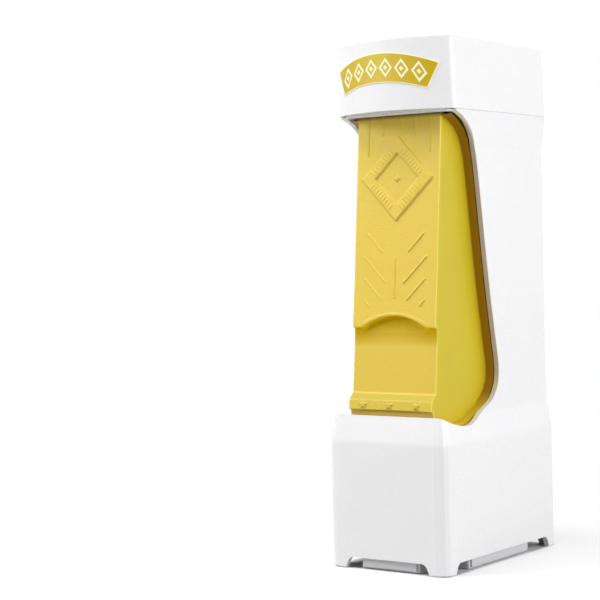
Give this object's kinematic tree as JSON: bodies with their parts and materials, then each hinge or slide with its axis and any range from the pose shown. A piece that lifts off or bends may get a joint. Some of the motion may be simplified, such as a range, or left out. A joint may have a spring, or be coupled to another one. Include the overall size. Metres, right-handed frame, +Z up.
{
  "type": "wire butter slicer",
  "caption": "Tall standing butter slicer: white housing, yellow press lever, lift-off cap, inner chamber with ratchet follower and a wire carriage that cuts a slice at each press.",
  "frame": {"origin": "centre of the base's footprint, on the surface that the feet stand on", "axes": "+X to the right as seen from the lever's side, -Y towards the lever's front, +Z up"},
  "size_m": [0.065, 0.104, 0.245],
  "materials": {
    "housing_white": "semi-gloss white ABS",
    "lever_yellow": "butter yellow ABS, satin",
    "label_gold": "printed label",
    "chamber_natural": "natural plastic",
    "grey_plastic": "light grey plastic",
    "steel": "bright zinc",
    "spring_steel": "drawn spring steel"
  },
  "bodies": {
    "frame": {"housing": "housing_white", "lever_pin": "steel", "pin_washer_1": "grey_plastic", "pin_washer_2": "grey_plastic", "butter_chamber": "chamber_natural", "chamber_screw_1": "steel", "chamber_screw_2": "steel", "chamber_screw_3": "steel", "chamber_screw_4": "steel", "deck_plate": "housing_white", "deck_screw_1": "steel", "deck_screw_2": "steel", "deck_screw_3": "steel", "deck_screw_4": "steel", "carriage_rail_left": "grey_plastic", "carriage_rail_right": "grey_plastic", "rail_screw_1": "steel", "rail_screw_2": "steel", "rail_screw_3": "steel", "rail_screw_4": "steel", "holding_rack": "housing_white", "holding_rack_screw_1": "steel", "holding_rack_screw_2": "steel", "return_spring_left": "spring_steel", "return_spring_right": "spring_steel"},
    "press_lever": {"lever": "lever_yellow", "drive_rack_pin": "steel"},
    "carriage": {"wire_carriage": "housing_white", "cutting_wire": "steel", "wire_anchor_screw_1": "steel", "wire_anchor_screw_2": "steel"},
    "feed_rack": {"drive_rack": "housing_white"},
    "pusher": {"follower": "grey_plastic", "follower_knob": "lever_yellow", "drive_pawl": "spring_steel", "holding_pawl": "spring_steel", "pawl_rivet_1": "steel", "pawl_rivet_2": "steel"},
    "top_cap": {"cap": "housing_white", "cap_label": "label_gold"},
    "bottom_tray": {"bottom_cover": "grey_plastic"}
  },
  "joints": [
    {"name": "lever_hinge", "type": "hinge", "parent": "frame", "child": "press_lever", "pos_m": [0, -0.025, 0.221], "axis": [1, 0, 0], "range_deg": [0, 13], "stiffness_Nm_per_rad": 0.05, "springref_deg": -20, "deforming": ["return_spring_left", "return_spring_right"]},
    {"name": "carriage_slide", "type": "slide", "parent": "frame", "child": "carriage", "axis": [0, 1, 0], "range_m": [0, 0.038]},
    {"name": "feed_rack_slide", "type": "slide", "parent": "frame", "child": "feed_rack", "axis": [0, 0, 1], "range_m": [0, 0.0052]},
    {"name": "follower_slide", "type": "slide", "parent": "frame", "child": "pusher", "axis": [0, 0, 1], "range_m": [-0.12, 0], "deforming": ["drive_pawl", "holding_pawl"]},
    {"name": "cap_lift", "type": "slide", "parent": "frame", "child": "top_cap", "axis": [0, 0, 1], "range_m": [0, 0.05]},
    {"name": "cover_drop", "type": "slide", "parent": "frame", "child": "bottom_tray", "axis": [0, 0, 1], "range_m": [-0.02, 0]}
  ],
  "couplings": [
    {"joint": "carriage_slide", "follows": "lever_hinge", "m_per_rad": 0.1665},
    {"joint": "feed_rack_slide", "follows": "lever_hinge", "m_per_rad": 0.0224}
  ]
}
